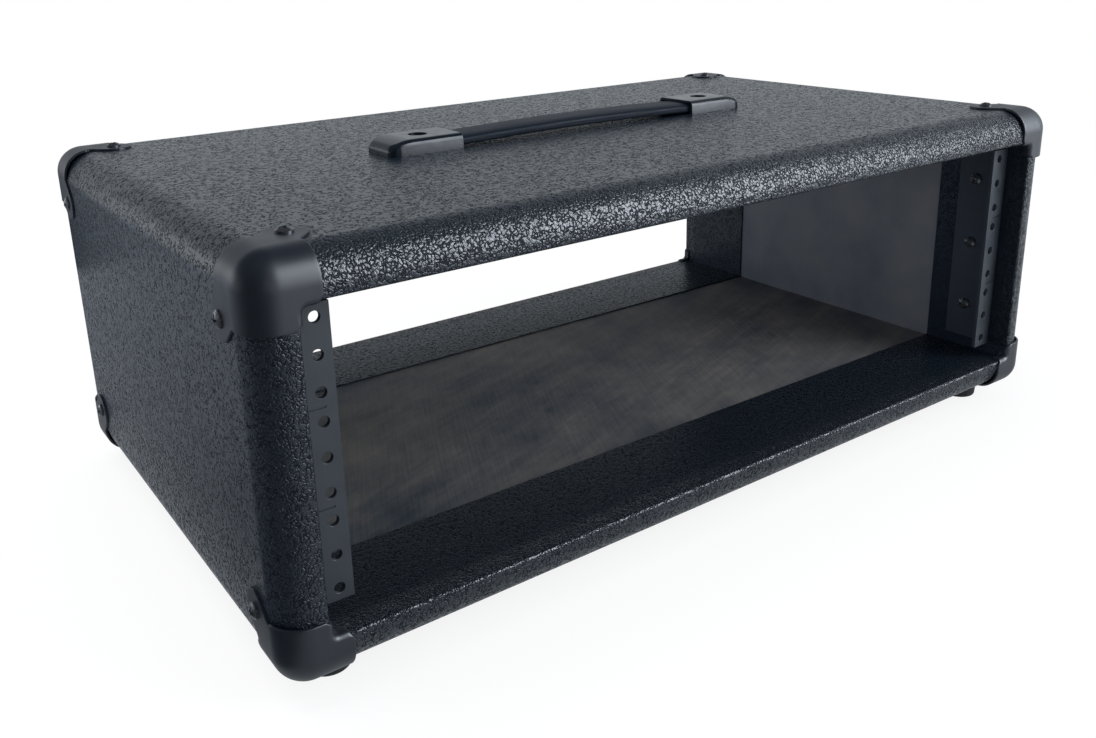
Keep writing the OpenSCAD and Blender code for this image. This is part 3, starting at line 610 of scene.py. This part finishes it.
WHITE, DAYLIGHT = "ffffff", "f2f9ff"
FLOOR_R, FLOOR_SIDES = 20, 96
WHITE_FROM, WHITE_AT, SHADOW_SHARE = 0.5, 1.5, 0.14
DIM_TO, BRIGHT_AT, PAINTED_SHADE_LEVEL = 0.25, 0.7, 0.6


def background_rays(tree):
    """1 for camera, glossy and transmission rays, else 0."""
    path = add(tree, "ShaderNodeLightPath").outputs
    seen = add(tree, "ShaderNodeMath", LARGER, i0=path["Is Camera Ray"], i1=path["Is Glossy Ray"])
    return add(tree, "ShaderNodeMath", LARGER, i0=seen, i1=path["Is Transmission Ray"])


def disc(name, radius, z):
    """A flat stage disc: points at one radius and evenly spaced angles."""
    angle = np.linspace(0, 2 * math.pi, FLOOR_SIDES, endpoint=False)
    rim = np.stack([radius * np.cos(angle), radius * np.sin(angle), np.full_like(angle, z)], 1)
    mesh = bpy.data.meshes.new(name)
    mesh.from_pydata(rim.tolist(), [], [list(range(len(rim)))])
    made = bpy.data.objects.new(name, mesh)
    scene.collection.objects.link(made)
    return made


def stage_floor():
    """Pale painted floor. The camera sees its shadow near the object and plain white from WHITE_AT on;
    reflections see a painted shade on it beside the object, down to a set level, which fades out further
    off and stands in for the object's shadow there. From below the camera looks through it."""
    floor = disc("floor", FLOOR_R, 0.0)
    material, tree, shader = finish_of("floor_paint", "f7f7f7", 0.9)
    place = add(tree, "ShaderNodeTexCoord").outputs["Object"]
    far = add(tree, "ShaderNodeVectorMath", {"operation": "LENGTH"}, i0=place).outputs["Value"]
    camera = add(tree, "ShaderNodeLightPath").outputs["Is Camera Ray"]
    near = add(tree, "ShaderNodeMath", TIMES_PLUS, i0=camera, i1=-SHADOW_SHARE, i2=1.0)
    plain = add(tree, "ShaderNodeMapRange", SMOOTH, Value=far, i1=WHITE_FROM, i2=WHITE_AT, i3=near, i4=1.0)
    share = add(tree, "ShaderNodeMath", TIMES, i0=plain, i1=background_rays(tree))
    # Painted shade on the floor as reflections see it: darker beside the object, in place of its shadow.
    dim = add(tree, "ShaderNodeMapRange", SMOOTH, Value=far, i1=DIM_TO, i2=BRIGHT_AT, i3=PAINTED_SHADE_LEVEL, i4=1.0)
    level = add(tree, "ShaderNodeMath", LARGER, i0=dim, i1=camera)
    tint = add(tree, "ShaderNodeMix", COLOURS, Factor=camera, i6=linear(DAYLIGHT), i7=linear(WHITE))
    white = add(tree, "ShaderNodeEmission", Color=tint.outputs[2], Strength=level)
    both = add(tree, "ShaderNodeMixShader", i0=share, i1=shader, i2=white)
    backfacing = add(tree, "ShaderNodeNewGeometry").outputs["Backfacing"]
    under = add(tree, "ShaderNodeMath", TIMES, i0=camera, i1=backfacing)
    clear = add(tree, "ShaderNodeBsdfTransparent")
    whole = add(tree, "ShaderNodeMixShader", i0=under, i1=both, i2=clear)
    tree.links.new(whole.outputs[0], tree.nodes["Material Output"].inputs[0])
    floor.data.materials.append(material)


def reflected_only(name, grid, material):
    """A stage sheet from a grid of points in metres that only reflections see."""
    mesh = bpy.data.meshes.new(name)
    quads = grid_quads(grid.shape[0], grid.shape[1], False)
    mesh.from_pydata(grid.reshape(-1, 3).tolist(), [], quads.tolist())
    mesh.materials.append(material)
    sheet = bpy.data.objects.new(name, mesh)
    scene.collection.objects.link(sheet)
    sheet.visible_camera = sheet.visible_diffuse = sheet.visible_shadow = sheet.visible_transmission = False


MAT_X, MAT_Y, MAT_Z, MAT_FADE = (-1.9, -0.283), (-1.7, 1.3), 0.002, 0.2
SCREEN_AXIS, SCREEN_R, SCREEN_TURN, SCREEN_STEPS, SCREEN_H = (-0.26, -0.15), 0.95, (172, 246), 25, 1.3
CARD_X, CARD_Y, CARD_Z = (-0.3, 0.6), 0.25, (0.095, 0.19)


def painted_reflection_mat():
    """A dark sheet on the floor to the left, out of the frame, that only reflections see: a painted dark
    reflection, near black beside and in front of the case, mid grey further back; the change runs from
    -MAT_FADE to MAT_FADE along Y."""
    material, tree, shader = finish_of("mat_painted_reflection", "101214", 0.9)
    place = add(tree, "ShaderNodeTexCoord").outputs["Object"]
    back = add(tree, "ShaderNodeSeparateXYZ", Vector=place).outputs["Y"]
    share = add(tree, "ShaderNodeMapRange", SMOOTH, Value=back, i1=-MAT_FADE, i2=MAT_FADE, i3=0.0, i4=1.0)
    tone = add(tree, "ShaderNodeMix", COLOURS, Factor=share, i6=linear("101418"), i7=linear("8a8e92"))
    tree.links.new(tone.outputs[2], shader.inputs["Base Color"])
    x, y = np.meshgrid(MAT_X, MAT_Y)
    reflected_only("painted_reflection_mat", np.stack([x, y, np.full_like(x, MAT_Z)], -1), material)


def painted_reflection_screen():
    """A dark upright screen to the front left that only reflections see, painting dark reflections: part of a
    cylinder round the front left corner of the case."""
    angle, z = np.meshgrid(np.radians(np.linspace(*SCREEN_TURN, SCREEN_STEPS)), [0.0, SCREEN_H])
    x, y = SCREEN_AXIS[0] + SCREEN_R * np.cos(angle), SCREEN_AXIS[1] + SCREEN_R * np.sin(angle)
    reflected_only("painted_reflection_screen", np.stack([x, y, z], -1), finish_of("screen_painted_reflection", "0a0e12", 0.9)[0])


def painted_reflection_card():
    """A low dark card behind the case, lower than its top, that only reflections see: a painted dark
    reflection for what the inside mirrors through the rear opening."""
    x, z = np.meshgrid(CARD_X, CARD_Z)
    grid = np.stack([x, np.full_like(x, CARD_Y), z], -1)
    reflected_only("painted_reflection_card", grid, finish_of("card_painted_reflection", "1c2630", 0.9)[0])


FLAG_Y, FLAG_FADE, FLAG_GLOW = -0.136, 0.008, 0.06


def front_flag(data):
    """Flags a lamp so that it shines in full only on the front edges of the case, up to FLAG_Y, and on what
    is seen in a second reflection; elsewhere it is dimmed to FLAG_GLOW. The place it shines on is the lamp's
    point plus the way back along the ray."""
    data.use_nodes = True
    tree = data.node_tree
    tree.nodes.clear()
    spot = add(tree, "ShaderNodeNewGeometry").outputs
    path = add(tree, "ShaderNodeLightPath").outputs
    way = add(tree, "ShaderNodeVectorMath", {"operation": "SCALE"}, i0=spot["Incoming"],
              Scale=path["Ray Length"])
    lit = add(tree, "ShaderNodeVectorMath", {"operation": "ADD"}, i0=spot["Position"], i1=way)
    depth = add(tree, "ShaderNodeSeparateXYZ", Vector=lit).outputs["Y"]
    front = add(tree, "ShaderNodeMapRange", SMOOTH, Value=depth, i1=FLAG_Y - FLAG_FADE, i2=FLAG_Y,
                i3=1.0, i4=FLAG_GLOW)
    second = add(tree, "ShaderNodeMath", {"operation": "GREATER_THAN"}, i0=path["Ray Depth"], i1=1.5)
    share = add(tree, "ShaderNodeMath", LARGER, i0=front, i1=second)
    glow = add(tree, "ShaderNodeEmission", Strength=share)
    add(tree, "ShaderNodeOutputLight", Surface=glow)


def lamp(name, place, aim, width, height, power, colour=WHITE, mirrored=True, lights=True):
    """A soft rectangular lamp at place that faces aim; power in watts. It is seen in reflections where
    mirrored is true, and lights surfaces where lights is true."""
    data = bpy.data.lights.new(name, "AREA")
    data.shape, data.size, data.size_y, data.energy = "RECTANGLE", width, height, power
    held = bpy.data.objects.new(name, data)
    scene.collection.objects.link(held)
    back = np.array(place, float) - np.array(aim, float)
    back /= np.linalg.norm(back)
    side = np.cross((0, 0, 1), back)
    side /= np.linalg.norm(side)
    turn = np.eye(4)
    turn[:3, 0], turn[:3, 1], turn[:3, 2], turn[:3, 3] = side, np.cross(back, side), back, place
    held.matrix_world = Matrix(turn.tolist())
    data.color = linear(colour)[:3]
    held.visible_camera, held.visible_glossy, held.visible_diffuse = False, mirrored, lights
    return data


SKY_LEAN, SKY_FILL = (-0.3, 0.0, 1.0), 0.75
CEILING_FROM, CEILING_AT, HORIZON_LEVEL, CEILING_LEVEL = 0.46, 0.62, 0.72, 0.05


def studio_sky():
    """World light: an even fill for the surfaces; white to the camera; in reflections bright near the
    horizon, falling to a dim ceiling that comes down further on the left."""
    world = bpy.data.worlds.new("studio_sky")
    scene.world = world
    world.use_nodes = True
    tree = world.node_tree
    tree.nodes.clear()
    look = add(tree, "ShaderNodeTexCoord").outputs["Generated"]
    up = add(tree, "ShaderNodeVectorMath", {"operation": "DOT_PRODUCT"}, i0=look,
             i1=SKY_LEAN).outputs["Value"]
    ceiling = add(tree, "ShaderNodeMapRange", SMOOTH, Value=up, i1=CEILING_FROM, i2=CEILING_AT,
                  i3=HORIZON_LEVEL, i4=CEILING_LEVEL)
    camera = add(tree, "ShaderNodeLightPath").outputs["Is Camera Ray"]
    level = add(tree, "ShaderNodeMath", LARGER, i0=ceiling, i1=camera)
    fill = add(tree, "ShaderNodeBackground", Color=linear("f2f4f8"), Strength=SKY_FILL)
    tint = add(tree, "ShaderNodeMix", COLOURS, Factor=camera, i6=linear(DAYLIGHT), i7=linear(WHITE))
    white = add(tree, "ShaderNodeBackground", Color=tint.outputs[2], Strength=level)
    both = add(tree, "ShaderNodeMixShader", i0=background_rays(tree), i1=fill, i2=white)
    add(tree, "ShaderNodeOutputWorld", Surface=both)


FRAME_W, FRAME_H, SENSOR_MM = 1096, 738, 36.0
EYE_MM, AZIMUTH, ELEVATION, ROLL = (-378.571, -500.516, 297.413), -35.124, 17.126, -1.538
FOCAL_PX, AXIS_PX = 1036.713, (539.079, 272.23)


def photo_camera():
    """The photograph's pinhole: eye point, azimuth, elevation and roll found from the rack holes and
    outlines. The shifts hold the optical axis at its own pixel of the frame."""
    az, el, roll = (math.radians(a) for a in (AZIMUTH, ELEVATION, ROLL))
    back = np.array([math.sin(az) * math.cos(el), -math.cos(az) * math.cos(el), math.sin(el)])
    right = np.cross(-back, (0, 0, 1))
    right /= np.linalg.norm(right)
    up = np.cross(right, -back)
    turn = np.eye(4)
    turn[:3, 0] = math.cos(roll) * right + math.sin(roll) * up
    turn[:3, 1] = -math.sin(roll) * right + math.cos(roll) * up
    turn[:3, 2] = back
    turn[:3, 3] = np.array(EYE_MM) * MM
    data = bpy.data.cameras.new("photo_camera")
    data.sensor_fit, data.sensor_width = "HORIZONTAL", SENSOR_MM
    data.lens = FOCAL_PX / FRAME_W * SENSOR_MM
    data.shift_x, data.shift_y = (FRAME_W / 2 - AXIS_PX[0]) / FRAME_W, (AXIS_PX[1] - FRAME_H / 2) / FRAME_W
    data.clip_start, data.clip_end = 0.01, 100.0
    held = bpy.data.objects.new("photo_camera", data)
    scene.collection.objects.link(held)
    held.matrix_world = Matrix(turn.tolist())
    scene.camera = held


stage_floor()
studio_sky()
painted_reflection_mat()
painted_reflection_screen()
painted_reflection_card()
front_flag(lamp("window", (1.15, -1.5, 0.98), (0.0, 0.0, 0.12), width=1.1, height=1.8, power=106,
                colour="eef5ff", lights=False))
lamp("front_fill", (1.15, -1.5, 1.05), (0.0, 0.0, 0.12), width=1.1, height=1.3, power=30,
     colour="eef5ff", mirrored=False)
lamp("rear_window", (-1.5, 1.6, 0.45), (0.0, 0.0, 0.15), width=1.0, height=0.5, power=3)
lamp("rear_fill", (-1.1, 0.9, 0.2), (0.24, -0.05, 0.1), width=0.4, height=0.3, power=6.5,
     colour="b8d2ff", mirrored=False)
lamp("overhead", (-0.5, 0.3, 1.8), (0.0, 0.0, 0.1), width=1.4, height=1.4, power=22, mirrored=False)
photo_camera()
scene.view_settings.view_transform = "Standard"

bpy.context.view_layer.update()
